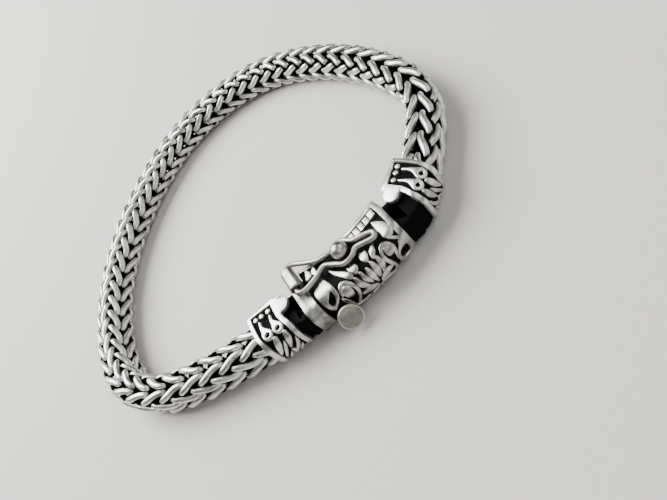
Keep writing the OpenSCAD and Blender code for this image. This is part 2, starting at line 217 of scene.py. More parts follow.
@dataclass(frozen=True)
class OxidisedSilver:
    """Sterling silver, blackened with sulphide and then polished where it stands out.

    The mesh attribute of polish and painted light says how far the polish reaches: 0 black, 1
    bright. On some pieces it also carries painted highlights and painted shade.
    """
    name: str
    bright: str = "#e9e8e4"
    dull: str = "#a9a8a2"
    black: str = "#070606"
    polish: float = 0.2
    mottle: float = 0.22
    shine_from: float = 0.30
    shine_to: float = 0.62

    # The black crust is matt and hardly shines
    crust_rough: float = 0.55
    crust_gloss: float = 0.04
    metal_gloss: float = 0.5

    # Sizes of the patterns in mm
    blotch_mm: float = 0.9091
    cloud_mm: float = 2.381
    scratch_mm: float = 0.5
    scratch_deep_mm: float = 0.06

    def build(self) -> bpy.types.Material:
        """Make the material.

        Returns:
            The material.
        """
        mat = bpy.data.materials.new(self.name)
        mat.use_nodes = True
        tree = mat.node_tree
        tree.nodes.clear()
        coords = add_node(tree, "ShaderNodeTexCoord", (-1200, 0)).outputs["Object"]
        worn_and_lit = self.worn_and_lit(tree, coords)

        # Cloudy handling marks of a few millimetres dull parts of the polish
        cloud = add_node(tree, "ShaderNodeTexNoise", (-900, 0), Vector=coords,
                         Scale=1 / (self.cloud_mm * MM), Detail=5.0, Roughness=0.65).outputs[0]
        tone = add_node(tree, "ShaderNodeValToRGB", (-600, 0), _0=cloud)
        low, high = tone.color_ramp.elements
        low.position, low.color = 0.32, linear(self.dull)
        high.position, high.color = 0.6, linear(self.bright)
        colour = add_node(tree, "ShaderNodeMix", (-100, 100), {"data_type": "RGBA"}, Factor=worn_and_lit,
                          A=linear(self.black), B=tone.outputs[0])

        # The black is a matt crust and no metal, the worn silver is polished
        rough, metal, gloss = (
            add_node(tree, "ShaderNodeMix", (-100, y), {"data_type": "FLOAT"}, Factor=worn_and_lit,
                     A=crust, B=silver).outputs["Result"]
            for y, crust, silver in ((-150, self.crust_rough, self.polish), (-350, 0.0, 1.0),
                                     (-550, self.crust_gloss, self.metal_gloss)))
        mottled = add_node(tree, "ShaderNodeMath", (100, -150), {"operation": "MULTIPLY_ADD"},
                           _0=cloud, _1=self.mottle, _2=rough)

        # Fine dents and scratches break up the reflections
        dents = add_node(tree, "ShaderNodeTexNoise", (-900, -300), Vector=coords,
                         Scale=1 / (self.scratch_mm * MM), Detail=3.0, Roughness=0.55)
        bump = add_node(tree, "ShaderNodeBump", (300, -300), Height=dents.outputs[0],
                        Strength=0.35, Distance=self.scratch_deep_mm * MM)
        shader = add_node(tree, "ShaderNodeBsdfPrincipled", (600, 0),
                          Base_Color=colour.outputs["Result"], Roughness=mottled.outputs[0],
                          Metallic=metal, Specular_IOR_Level=gloss, Normal=bump.outputs[0])
        add_node(tree, "ShaderNodeOutputMaterial", (900, 0), Surface=shader.outputs[0])
        return mat

    def worn_and_lit(self, tree: bpy.types.NodeTree, coords: bpy.types.NodeSocket) -> bpy.types.NodeSocket:
        """Say where the black is worn off, and where painted highlights and painted shade lie.

        Args:
            tree: the material's nodes.
            coords: Object coordinates.
        Returns:
            0 in the black and 1 on the bright metal.
        """
        wear_and_light = add_node(tree, "ShaderNodeAttribute", (-1200, 300), {"attribute_name": "wear_and_light"})
        # Blotches of about a millimetre make the edge of the black uneven
        blotch = add_node(tree, "ShaderNodeTexNoise", (-900, 300), Vector=coords,
                          Scale=1 / (self.blotch_mm * MM), Detail=4.0, Roughness=0.6)
        spread = add_node(tree, "ShaderNodeMath", (-700, 300), {"operation": "MULTIPLY_ADD"},
                          _0=blotch.outputs[0], _1=0.5, _2=-0.25)
        uneven = add_node(tree, "ShaderNodeMath", (-500, 300), {"operation": "ADD"},
                          _0=wear_and_light.outputs["Fac"], _1=spread.outputs[0])
        return add_node(tree, "ShaderNodeMapRange", (-300, 300),
                        {"interpolation_type": "SMOOTHSTEP"}, Value=uneven.outputs[0],
                        From_Min=self.shine_from, From_Max=self.shine_to).outputs[0]


@dataclass(frozen=True)
class PalePaper:
    """Plain matt paper for the floor, with a faint, even grain."""
    name: str = "pale_floor"
    low: str = "#d3d0cb"
    high: str = "#d9d6d1"
    roughness: float = 0.8
    grain_mm: float = 1.1111

    def build(self) -> bpy.types.Material:
        """Make the material.

        Returns:
            The material.
        """
        mat = bpy.data.materials.new(self.name)
        mat.use_nodes = True
        tree = mat.node_tree
        shader = tree.nodes["Principled BSDF"]
        shader.inputs["Roughness"].default_value = self.roughness
        coords = add_node(tree, "ShaderNodeTexCoord", (-800, 0))
        grain = add_node(tree, "ShaderNodeTexNoise", (-600, 0), Vector=coords.outputs["Object"],
                         Scale=1 / (self.grain_mm * MM), Detail=3.0)
        tone = add_node(tree, "ShaderNodeValToRGB", (-300, 0), _0=grain.outputs[0])
        for stop, code in zip(tone.color_ramp.elements, (self.low, self.high)):
            stop.color = linear(code)
        tree.links.new(tone.outputs[0], shader.inputs["Base Color"])
        return mat


class Finish(Enum):
    """The finishes of the bracelet, each for what the eye sees of the silver there."""
    # Drawn wire, tumbled: bright backs of the wires over black gaps
    CHAIN = OxidisedSilver("silver_wire_oxidised", polish=0.27)
    # Cast relief, polished on top: bright ornament on a black ground
    CAST = OxidisedSilver("silver_cast_oxidised", polish=0.25)
    # The box: a greyer copy of the cast silver, painted shade, with its ground a less deep black
    BOX = OxidisedSilver("silver_box_shaded", bright="#d3d1cc", dull="#82807a", black="#131211",
                         polish=0.24)
    # Plain hammered sheet: broad, soft, greyish reflections with wide dents
    PLAIN = OxidisedSilver("silver_plain_worn", bright="#aeaca6", dull="#5f5c58", polish=0.25,
                           shine_from=0.2, shine_to=0.8, scratch_mm=1.4)
    # Latch wire: a darker copy of the silver, painted shade, with its lower flanks painted dark, a
    # painted reflection of dark surroundings
    WIRE = OxidisedSilver("silver_latch_wire_shaded", bright="#bdbbb6", dull="#84817b", polish=0.33,
                          shine_from=0.2, shine_to=0.6)
    # Button: a matt, slightly warm face inside a rim painted bright, a painted highlight
    DISC = OxidisedSilver("silver_button_matt", bright="#c9c5b8", dull="#b3afa2", polish=0.32,
                          shine_from=0.0, shine_to=1.0)
    # Hinge parts: nearly all black, their patina and painted shade between the clasp and the caps
    PATINA_AND_SHADE = OxidisedSilver("silver_black_patina_and_shade", bright="#8b8983", dull="#4a4844", polish=0.4,
                               shine_from=0.45, shine_to=0.95)


@cache
def material(finish: Finish) -> bpy.types.Material:
    """Build the material of a finish, once.

    Args:
        finish: which one.
    Returns:
        The material.
    """
    return finish.value.build()


# Mesh tools

def clear_selection() -> None:
    """Deselect every object."""
    bpy.ops.object.select_all(action="DESELECT")


def pick(obj: bpy.types.Object) -> None:
    """Make an object the only selected and active one.

    Args:
        obj: the object.
    """
    clear_selection()
    obj.select_set(True)
    bpy.context.view_layer.objects.active = obj


def take_mesh(obj: bpy.types.Object) -> tuple[Array, list]:
    """Read a mesh object and remove it.

    Args:
        obj: the object.
    Returns:
        Points and faces.
    """
    mesh = obj.data
    co = np.empty(len(mesh.vertices) * 3)
    mesh.vertices.foreach_get("co", co)
    faces = [tuple(p.vertices) for p in mesh.polygons]
    bpy.data.objects.remove(obj)
    return co.reshape(-1, 3), faces


def curve_to_mesh(curve: bpy.types.Curve) -> bpy.types.Object:
    """Turn a curve into a mesh object.

    Args:
        curve: the curve with its splines and bevel.
    Returns:
        The object.
    """
    obj = bpy.data.objects.new(curve.name, curve)
    bpy.context.scene.collection.objects.link(obj)
    pick(obj)
    bpy.ops.object.convert(target="MESH")
    return obj


def closed_spline(curve: bpy.types.Curve, rows: Array, shares: Array) -> None:
    """Add a closed spline to a curve.

    Args:
        curve: where it goes.
        rows: x, y and z of its points.
        shares: share of the bevel at each point.
    """
    spline = curve.splines.new("POLY")
    spline.points.add(len(rows) - 1)
    spline.points.foreach_set("co", np.column_stack([rows, np.ones(len(rows))]).ravel())
    spline.points.foreach_set("radius", shares)
    spline.use_cyclic_u = True


def bent_wire(rows: Array, radius: float, shares: Array, rounding: int) -> tuple[Array, list]:
    """Model a closed round wire.

    Args:
        rows: places along its middle.
        radius: its radius.
        shares: share of the radius at each place.
        rounding: bevel resolution of the round.
    Returns:
        Points and faces.
    """
    curve = bpy.data.curves.new("wire", "CURVE")
    curve.dimensions = "3D"
    curve.bevel_depth = radius
    curve.bevel_resolution = rounding
    closed_spline(curve, rows, shares)
    return take_mesh(curve_to_mesh(curve))


def softened(edge: float) -> tuple[Array, list]:
    """Round the sharp edges of the active object and take its mesh.

    Args:
        edge: width of the rounding.
    Returns:
        Points and faces.
    """
    obj = bpy.context.object
    mod = obj.modifiers.new("soft", "BEVEL")
    mod.width = edge
    mod.segments = 4
    mod.limit_method = "ANGLE"
    mod.angle_limit = math.radians(50)
    bpy.ops.object.modifier_apply(modifier=mod.name)
    return take_mesh(obj)


def soft_block(size: tuple, edge: float) -> tuple[Array, list]:
    """Model a block with rounded edges about the origin.

    Args:
        size: along, across and up.
        edge: width of the rounding.
    Returns:
        Points and faces.
    """
    clear_selection()
    bpy.ops.mesh.primitive_cube_add(size=1)
    bpy.context.object.scale = size
    bpy.ops.object.transform_apply(location=False, rotation=False, scale=True)
    return softened(edge)


def soft_round(radius: float, height: float, edge: float) -> tuple[Array, list]:
    """Model an upright cylinder with rounded edges about the origin.

    Args:
        radius: its radius.
        height: its height.
        edge: width of the rounding.
    Returns:
        Points and faces.
    """
    clear_selection()
    bpy.ops.mesh.primitive_cylinder_add(vertices=48, radius=radius, depth=height)
    return softened(edge)


def lathe(profile: list, steps: int = 48) -> tuple[Array, list]:
    """Turn a closed profile round the z axis.

    Args:
        profile: rows of radius and height, upwards outside and back inside.
        steps: number of steps round.
    Returns:
        Points and faces; a point on the axis is made once.
    """
    points, index = [], []
    for k in range(steps):
        a = 2 * math.pi * k / steps
        row = []
        for r, z in profile:
            if r == 0 and k:
                row.append(index[0][len(row)])
                continue
            row.append(len(points))
            points.append((r * math.cos(a), r * math.sin(a), z))
        index.append(row)
    faces = []
    for here, there in zip(index, index[1:] + index[:1]):
        for j, j1 in zip(range(len(profile)), [*range(1, len(profile)), 0]):
            face = list(dict.fromkeys((here[j], there[j], there[j1], here[j1])))
            if len(face) > 2:
                faces.append(face)
    return np.array(points), faces


def face_outwards(mesh: bpy.types.Mesh) -> None:
    """Turn round each closed part of a mesh whose volume comes out negative.

    Args:
        mesh: the mesh, whose parts each face one way already.
    """
    bm = bmesh.new()
    bm.from_mesh(mesh)
    seen = set()
    for start in bm.faces:
        if start in seen:
            continue
        seen.add(start)
        part, volume = [start], 0.0
        for face in part:
            first, *others = (v.co for v in face.verts)
            volume += sum(first.dot(b.cross(c)) for b, c in zip(others, others[1:]))
            for edge in face.edges:
                fresh = [f for f in edge.link_faces if f not in seen]
                seen.update(fresh)
                part += fresh
        if volume < 0:
            bmesh.ops.reverse_faces(bm, faces=part)
    bm.to_mesh(mesh)
    bm.free()


@dataclass
class MeshSum:
    """Gathers the points, faces and wear of many parts into one mesh."""
    points: list = field(default_factory=list)
    wear_and_light: list = field(default_factory=list)
    faces: list = field(default_factory=list)
    count: int = 0

    # Points nearer than this are one, and edges sharper than this stay sharp
    merge_mm: float = 0.0005
    sharp: float = 40.0

    def add(self, points: Array, faces: list, wear_and_light: Array | float) -> None:
        """Add one part.

        Args:
            points: its places in mm.
            faces: lists of its own point numbers.
            wear_and_light: one number, or one for each point.
        """
        points = np.asarray(points, float)
        self.points.append(points)
        self.wear_and_light.append(np.broadcast_to(np.asarray(wear_and_light, float), (len(points),)))
        self.faces += [[i + self.count for i in f] for f in faces]
        self.count += len(points)

    def to_object(self, name: str, finish: Finish) -> bpy.types.Object:
        """Make the piece, in metres, at the origin.

        Args:
            name: its name.
            finish: its finish.
        Returns:
            The object.
        """
        mesh = bpy.data.meshes.new(name)
        pts = np.concatenate(self.points) * MM
        mesh.from_pydata(pts.tolist(), [], self.faces)
        layer = mesh.attributes.new("wear_and_light", "FLOAT", "POINT")
        layer.data.foreach_set("value", np.concatenate(self.wear_and_light))
        mesh.materials.append(material(finish))
        mesh.validate()
        mesh.update()
        obj = bpy.data.objects.new(name, mesh)
        bpy.context.scene.collection.objects.link(obj)
        pick(obj)
        bpy.ops.object.mode_set(mode="EDIT")
        bpy.ops.mesh.select_all(action="SELECT")
        bpy.ops.mesh.remove_doubles(threshold=self.merge_mm * MM)
        bpy.ops.mesh.normals_make_consistent(inside=False)
        bpy.ops.object.mode_set(mode="OBJECT")
        face_outwards(mesh)
        bpy.ops.object.shade_smooth_by_angle(angle=math.radians(self.sharp))
        return obj


def declare(obj: bpy.types.Object, body: str, slot: str, *nodes: str) -> None:
    """Tie a piece to the part and report it.

    Args:
        obj: the piece.
        body: the body that it rides.
        slot: not used.
        nodes: the CAD nodes that it stands for.
    """
    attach(obj, body)
    if nodes:
        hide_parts(*nodes)
    log.info("%s: %d faces", obj.name, len(obj.data.polygons))


# Outlines and raised work

def round_end(centre: Array, radius: float, toward: Array) -> list:
    """Round off one end of a stroke.

    Args:
        centre: middle of the end.
        radius: half the stroke's width there.
        toward: direction that the end faces.
    Returns:
        Four points of the arc.
    """
    a0 = math.atan2(toward[1], toward[0])
    return [centre + radius * np.array([math.cos(a0 + a), math.sin(a0 + a)])
            for a in np.radians([60, 25, -25, -60])]


def stroke_outline(points: Sequence) -> Array:
    """Draw a stroke with round ends.

    Args:
        points: rows of x, s and width along its middle.
    Returns:
        Points of the closed outline.
    """
    path = rounded_path(points, 5)
    xy, half = path[:, :2], np.maximum(path[:, 2] / 2, 0.03)
    d = np.gradient(xy, axis=0)
    d /= np.maximum(np.linalg.norm(d, axis=1), 1e-9)[:, None]
    n = np.stack([-d[:, 1], d[:, 0]], 1)
    left = xy + n * half[:, None]
    right = (xy - n * half[:, None])[::-1]
    return np.concatenate([left, round_end(xy[-1], half[-1], d[-1]),
                           right, round_end(xy[0], half[0], -d[0])])


def circle_outline(x: float, s: float, r: float, sides: int = 16) -> Array:
    """Draw a circle.

    Args:
        x: its middle along.
        s: its middle round the section.
        r: its radius.
        sides: number of points.
    Returns:
        Points of the closed outline.
    """
    a = np.arange(sides) * 2 * math.pi / sides
    return np.stack([x + r * np.cos(a), s + r * np.sin(a)], 1)


def raised_mesh(outlines: list, height: float, bevel: float = 0.2,
                strip: float = 0.4) -> tuple[Array, list]:
    """Model a flat shape with rounded top edges, cut into strips so that it can bend.

    Args:
        outlines: closed outlines in the plane; one inside another is a hole.
        height: how far the top stands over the ground.
        bevel: rounding of the top edges.
        strip: width of the strips round the section.
    Returns:
        Points (x, s, height) and faces.
    """
    curve = bpy.data.curves.new("motif", "CURVE")
    curve.dimensions = "2D"
    curve.fill_mode = "BOTH"
    curve.bevel_depth = bevel
    curve.bevel_resolution = 2
    curve.offset = -bevel
    curve.extrude = height
    for outline in outlines:
        n = len(outline)
        closed_spline(curve, np.column_stack([outline, np.zeros(n)]), np.ones(n))
    obj = curve_to_mesh(curve)
    bm = bmesh.new()
    bm.from_mesh(obj.data)
    bpy.data.objects.remove(obj)
    for axis, width in ((1, strip), (0, STRIP_ALONG)):
        reach = [v.co[axis] for v in bm.verts]
        for k in range(math.ceil(min(reach) / width), math.floor(max(reach) / width) + 1):
            normal = np.eye(3)[axis]
            bmesh.ops.bisect_plane(bm, geom=bm.verts[:] + bm.edges[:] + bm.faces[:],
                                   plane_co=k * width * normal, plane_no=normal, dist=1e-5)
    pts = np.array([v.co[:] for v in bm.verts])
    faces = [[v.index for v in f.verts] for f in bm.faces]
    bm.free()
    # The curve's extrusion runs both ways from its plane: the lower half is pressed into
    # a thin foot in the ground
    pts[:, 2] += height - pts[:, 2].max()
    pts[:, 2] *= np.where(pts[:, 2] < 0, -FOOT / pts[:, 2].min(), 1.0)
    return pts, faces


def carried(pts: Array, move: Sequence, to_part: Callable) -> Array:
    """Take points from their own frame to the part's.

    Args:
        pts: rows of x, y and z.
        move: added to each row first.
        to_part: the frame's own function.
    Returns:
        Rows of x, y and z of the part.
    """
    return np.stack(to_part(*(pts + np.array(move)).T), 1)


# Sections of the caps, the box and the band

@dataclass(frozen=True)
class DSection:
    """Rounded section with flat sides, its outer edges rounded more than the others.

    A place on it is a length s from the middle of the outer side, upwards positive. Past
    the middle of the wrist side it comes back from below.
    """
    half: float
    outer_round: float = 2.3
    inner_round: float = 0.6

    def place(self, s: Array, out: Array, inn: Array) -> tuple[Array, Array, Array, Array]:
        """Find places on the section.

        Args:
            s: lengths round it.
            out: distance of the outer side from the axis.
            inn: distance of the wrist side.
        Returns:
            y and z, and the same of the outward normal.
        """
        s, out, inn = np.broadcast_arrays(*(np.asarray(v, float) for v in (s, out, inn)))
        half_way = self.reach(out, inn)
        past = np.abs(s) > half_way
        sign = np.where((s < 0) ^ past, -1.0, 1.0)
        a = np.where(past, 2 * half_way - np.abs(s), np.abs(s))
        big, small = self.outer_round, self.inner_round
        flat = self.half - big
        arc = big * math.pi / 2
        top = out + inn - big - small
        turn = small * math.pi / 2
        t1 = np.clip((a - flat) / big, 0, math.pi / 2)
        on_top = np.clip(a - flat - arc, 0, top)
        t2 = np.clip((a - flat - arc - top) / small, 0, math.pi / 2)
        down = np.clip(a - flat - arc - top - turn, 0, self.half - small)
        y = -out + big - big * np.cos(t1) + on_top + small * np.sin(t2)
        z = np.minimum(a, flat) + big * np.sin(t1) - small * (1 - np.cos(t2)) - down
        ny = -np.cos(t1) * (t2 <= 0) * (on_top <= 0) + np.sin(t2) * (t2 > 0)
        nz = np.where(t2 > 0, np.cos(t2), np.where(on_top > 0, 1.0, np.sin(t1)))
        return y, sign * z, ny, sign * nz

    def reach(self, out: Array, inn: Array) -> Array:
        """Half the length round the section, for its two distances from the axis."""
        rounds = self.outer_round + self.inner_round
        return 2 * self.half + out + inn - 2 * rounds + rounds * math.pi / 2


@dataclass(frozen=True)
class Wrap:
    """Lays points (x, s, height) on the outside of a cap, the box or the band."""
    section: DSection
    to_part: Callable
    out_at: Callable
    inn_at: Callable
    sink: float

    def place(self, pts: Array) -> Array:
        """Take points to the part's frame.

        Args:
            pts: rows of x, s and height; height 0 is the sunk ground.
        Returns:
            Rows of x, y and z of the part.
        """
        x, s, h = pts.T
        y, z, ny, nz = self.section.place(s, self.out_at(x), self.inn_at(x))
        lift = h - self.sink
        return np.stack(self.to_part(x, y + ny * lift, z + nz * lift), 1)

    def half_way(self, x: Array) -> Array:
        """Half the length round the section at x."""
        return self.section.reach(self.out_at(x), self.inn_at(x))

    def sheet(self, columns: Callable, heights: Array, steps: int) -> tuple[Array, list]:
        """Model a closed sheet round the section.

        Args:
            columns: function of s that gives the x of every column.
            heights: height of each column over the ground.
            steps: steps round the section.
        Returns:
            Points and faces.
        """
        start = self.half_way(columns(0.0)[0])
        rows = []
        for share in np.linspace(-1, 1, steps, endpoint=False):
            xs = columns(share * start)
            rows.append(self.place(np.stack([xs, share * self.half_way(xs), heights], 1)))
        n = len(heights)
        faces = [[i * n + k, j * n + k, j * n + k + 1, i * n + k + 1]
                 for i, j in zip(range(steps), [*range(1, steps), 0]) for k in range(n - 1)]
        return np.concatenate(rows), faces

    def cover(self, total: MeshSum, columns: Callable, heights: Array, wear_and_light: Array,
              steps: int) -> None:
        """Add a closed shell: the outer sheet, and the inner wall between its two edges.

        Args:
            total: where it goes.
            columns: function of s that gives the x of every column.
            heights: height of each column over the ground.
            wear_and_light: polish of each column.
            steps: steps round the section.
        """
        total.add(*self.sheet(columns, heights, steps), np.tile(wear_and_light, steps))
        total.add(*self.sheet(lambda s: columns(s)[[0, -1]], heights[[0, -1]], steps), 0.0)


# Woven chain

@dataclass
class Chain:
    """The woven chain: two crossed sets of wire loops along a bent path."""
    width: float = 5.5
    wire_d: float = 0.82
    loops: int = 49
    sides: int = 10
    end_stretch: float = 0.08
    sag: float = 0.3

    # How deep the first loop sits in its cap, the cap's mouth, and the last loops' shortening
    depth: float = 3.0
    mouth: float = 6.1
    last_ears: tuple = (0.9, 0.8)

    # Twist in degrees, the place in loops where it is greatest and its spread
    twist: tuple = (18.0, 14.0, 7.0)

    # On the far side the weave is tighter, and painted brighter for the light falling on it:
    # where, its spread, the wires' swell
    far_side: tuple = (0.40, 0.16)
    swell: float = 1.13

    # The black ends at this share of the half width, and deeper on the far side as a painted
    # highlight
    black_to: float = 0.73
    far_highlight: float = 0.05
    ramp: float = 0.24

    # Where a wire would dip under the floor it is flattened between these two heights
    soft_floor: tuple = (0.02, 0.1)

    # Plan of the chain: length along the middle, turn to the right in degrees
    arcs: tuple = ((20.6, 16.2), (20.3, 65.6), (22.2, 30.6), (25.2, 32.1),
                   (38.4, 78.5), (33.7, 36.1), (11.5, 40.6), (13.1, 13.3))

    # A quarter of a loop: across and beside in widths, pitches ahead, radius of the wire
    quarter: tuple = ((0.310, 0.080, 0.05, 0.42), (0.408, 0.102, 0.16, 0.50),
                      (0.438, 0.125, 0.40, 0.55), (0.438, 0.222, 0.70, 0.57),
                      (0.415, 0.312, 0.96, 0.55), (0.345, 0.325, 1.17, 0.42),
                      (0.215, 0.200, 1.30, 0.36), (0.287, 0.000, 1.63, 0.36))

    def __post_init__(self) -> None:
        """Work out where each arc starts, the whole length and the loops' pitch."""
        self.starts = []
        self.length = 0.0
        heading = 180 - LEFT_TURN + CLASP_TURN
        point = np.array(left_cap_to_part(self.mouth - self.depth, 0.0, 0.0)[:2])
        for arc, turn in self.arcs:
            self.starts.append((self.length, heading, point))
            point = self.arc_point(point, heading, arc, turn, arc)
            self.length += arc
            heading -= turn
        reach = self.quarter[-1][2] * self.last_ears[1]
        self.pitch = (self.length - self.wire_d) / (self.loops - 0.5 + reach)

    @staticmethod
    def arc_point(p: Array, heading: float, arc: float, turn: float, s: Array) -> Array:
        """Find places on an arc.

        Args:
            p: where it starts.
            heading: its first direction in degrees.
            arc: its length.
            turn: its turn to the right in degrees.
            s: lengths from its start.
        Returns:
            x and y of each place.
        """
        rate = math.radians(turn / arc)
        a = math.radians(heading)
        b = a - rate * s
        return p + np.stack([np.sin(a) - np.sin(b), np.cos(b) - np.cos(a)], -1) / rate

    def bend(self, pts: Array) -> Array:
        """Bend points of the straight chain to its path.

        Args:
            pts: rows of pitches along, mm across outwards and mm up.
        Returns:
            Rows of x, y and z of the part.
        """
        u, across, up = pts.T
        most, middle, spread = self.twist
        turn_at = np.radians(most) * np.exp(-((u - middle) / spread) ** 2)
        across, up = (across * np.cos(turn_at) + up * np.sin(turn_at),
                      up * np.cos(turn_at) - across * np.sin(turn_at))
        span = self.length / self.pitch
        wave = span / 2 / math.pi * np.sin(2 * math.pi * u / span)
        s = self.wire_d / 2 + self.pitch * (u + self.end_stretch * wave)
        out = np.empty((len(pts), 3))
        for (arc, turn), (start, heading, p) in zip(self.arcs, self.starts):
            first, last = start == 0, start + arc >= self.length
            here = (first | (s >= start)) & (last | (s < start + arc))
            along = s[here] - start
            b = np.radians(heading - turn / arc * along)
            side = across[here, None] * np.stack([-np.sin(b), np.cos(b)], 1)
            out[here, :2] = self.arc_point(p, heading, arc, turn, along) + side
        sag = self.sag * np.sin(np.clip(math.pi * s / self.length, 0, math.pi)) ** 2
        z = MID_Z - sag + up
        least, soft = self.soft_floor
        room = soft - least
        pressed = least + room * np.exp((np.minimum(z, soft) - soft) / room)
        out[:, 2] = np.where(z < soft, pressed, z)
        return out

    def loop(self, swell: float) -> tuple[Array, list]:
        """Model one loop as a closed wire of varying thickness.

        Args:
            swell: factor on the wire's thickness.
        Returns:
            Points (along, across, up) and faces.
        """
        quarter = np.array(self.quarter)
        side = np.concatenate([quarter, quarter[-2::-1] * [1, -1, 1, 1]])
        rows = rounded_path(np.concatenate([side, side * [-1, -1, 1, 1]]), 2, closed=True)
        across, beside, ahead, radius = rows.T
        middle = np.column_stack([ahead * self.pitch, across * self.width, beside * self.width])
        return bent_wire(middle, swell, radius, (self.sides - 4) // 2)

    def build(self) -> None:
        """Copy the loop along the path and join the copies into two pieces."""
        slim, faces = self.loop(1.0)
        full, _ = self.loop(self.swell)
        turned_faces = [f[::-1] for f in faces]
        half = self.loops // 2
        middle, spread = self.far_side
        for side, rows in (("left", range(half)), ("right", range(half, self.loops))):
            total = MeshSum()
            for i in rows:
                tight = math.exp(-((i / self.loops - middle) / spread) ** 2)
                along, across, up = (slim + tight * (full - slim)).T
                # On the far side the bright reaches deeper: a painted highlight
                deep = self.black_to - self.far_highlight * tight
                out = np.maximum(np.abs(across), np.abs(up)) / (self.width / 2)
                shine = smoothstep(deep, deep + self.ramp, out)
                for turn, ears in enumerate(self.last_ears):
                    ahead = along / self.pitch * (ears if i == self.loops - 1 else 1.0)
                    across_up = (up, across) if turn else (across, up)
                    placed = self.bend(np.stack([ahead + i + turn / 2, *across_up], 1))
                    total.add(placed, turned_faces if turn else faces, shine)
            declare(total.to_object(f"woven_chain_{side}", Finish.CHAIN), "bracelet", "chain",
                    f"chain_{side}")


# End caps

@dataclass
class EndCap:
    """A cast cap over an end of the chain.

    The skew leans its rims towards the wrist, and the shift moves its pattern round.
    """
    name: str
    to_part: Callable
    skew: float
    shift: float
    half: float = 3.4
    out: float = 3.5
    relief: float = 0.42
    wall: float = 0.4
    steps: int = 168

    # Wrist side at the mouth, how much wider it is at the ears, and where that starts and ends
    inn: float = 3.55
    flare: float = 0.5
    flare_along: tuple = (6.6, 1.6)

    # Across towards the wrist, front edge, its rim's inner edge, the mouth rim's, mouth edge
    plan: tuple = ((-3.6, 0.15, 1.0, 5.05, 6.05), (-2.7, 0.25, 1.15, 5.25, 6.15),
                   (-1.75, 0.5, 1.45, 5.6, 6.3), (-0.85, 0.95, 1.85, 5.85, 6.5),
                   (0.15, 1.3, 2.25, 6.0, 6.75), (2.1, 1.4, 2.55, 6.3, 7.0),
                   (3.4, 1.5, 2.6, 6.4, 7.1), (4.0, 2.0, 2.8, 6.5, 7.1))
    ear_at: tuple = (1.0, 1.6)
    ear_r: float = 1.4

    # Outline of a pierced drop: along and round the section; its eye; the second drop's step
    drop: tuple = ((3.4, 7.1), (3.45, 5.9), (3.4, 4.9), (3.45, 4.0), (3.15, 3.25), (2.5, 2.95),
                   (1.87, 3.25), (1.6, 3.95), (1.72, 4.5), (2.2, 5.05), (2.68, 5.6),
                   (2.92, 6.2), (3.0, 7.05))
    drop_eye: tuple = (2.52, 3.95, 0.36)
    drop_step: float = 1.92
    dots: tuple = ((3.3, 7.9), (4.55, 7.9), (5.65, 7.9))
    dot_r: float = 0.45

    # The pattern's shift fades out between these two lengths round the section
    shift_fades: tuple = (5.0, 8.0)

    # Plain wrist side: its ends along and its border round the section
    wrist_panel: tuple = (1.9, 6.6, 8.7)

    # Leaves: rows of x, s and width
    leaves: tuple = (
        ((1.95, 2.8, 0.7), (2.05, 1.8, 1.05), (2.45, 0.7, 0.8), (2.9, -0.2, 0.4)),
        ((3.7, 2.8, 0.8), (3.95, 1.7, 1.05), (4.4, 0.5, 0.8), (4.8, -0.4, 0.4)),
        ((3.0, 1.5, 0.3), (3.35, 0.6, 0.6), (3.95, -0.4, 0.55), (4.6, -1.4, 0.4)),
        ((1.25, 0.9, 0.35), (1.6, -0.2, 0.6), (2.3, -1.2, 0.6), (3.1, -2.1, 0.4)),
        ((1.5, -1.2, 0.3), (2.1, -2.1, 0.7), (2.7, -3.0, 0.4)),
        ((3.2, -0.9, 0.35), (3.0, -1.7, 0.75), (3.3, -2.6, 0.3)),
        ((3.7, -1.4, 0.35), (4.1, -2.2, 0.75), (4.4, -3.0, 0.4)))

    def __post_init__(self) -> None:
        """Set up the section that the shell and the pattern are laid on."""
        self.section = DSection(self.half)
        self.wrap = Wrap(self.section, self.to_part, self.out_at, self.inn_at, self.relief)

    def lean(self, x: Array, s: Array) -> Array:
        """Shift along x that grows towards the wrist."""
        return x + self.skew * np.abs(s) / 8

    def out_at(self, x: Array) -> Array:
        """Distance of the outer side from the axis."""
        return np.full(np.shape(x), self.out)

    def inn_at(self, x: Array) -> Array:
        """Distance of the wrist side from the axis: it widens from the mouth to the ears."""
        mouth, ears = self.flare_along
        return self.inn + self.flare * np.clip((mouth - x) / (mouth - ears), 0, 1)

    def columns(self, s: float) -> Array:
        """Lay out the shell's columns, round the ears and along the slanting edges.

        Args:
            s: length round the section.
        Returns:
            x of the columns, from the front edge to the mouth.
        """
        y, z, *_ = self.section.place(s, self.out, self.inn_at(self.flare_along[1]))
        across, *edges = np.array(self.plan).T
        front, f_in, m_in, mouth = (np.interp(y, across, edge) for edge in edges)
        beside = abs(y - self.ear_at[1])
        on_flat_side = abs(z) > self.half - 0.2
        if beside < self.ear_r and on_flat_side:
            front = min(front, self.ear_at[0] - math.sqrt(self.ear_r ** 2 - beside ** 2))
        xs = np.array([front, front, front + 0.04, front + 0.14, f_in - 0.12, f_in,
                       *np.linspace(f_in + 0.3, m_in - 0.3, 5),
                       m_in, m_in + 0.12, mouth - 0.14, mouth - 0.04, mouth, mouth])
        return self.lean(xs, s)

    def build(self) -> None:
        """Model the shell with its rims and ears, and its raised pattern."""
        total = MeshSum()
        rim = [-self.wall, *(self.relief - low for low, _ in RIM_EDGE)]
        bright = [WALL_SHINE, *(shine for _, shine in RIM_EDGE)]
        # Both edges of the ground and five columns between them
        ground = [0] * 7
        self.wrap.cover(total, self.columns, np.array(rim + ground + rim[::-1]),
                        np.array(bright + ground + bright[::-1]), self.steps)
        self.back(total)
        self.pattern(total)
        declare(total.to_object(f"cap_{self.name}_cast", Finish.CAST), "bracelet", "ornament",
                f"cap_{self.name}")

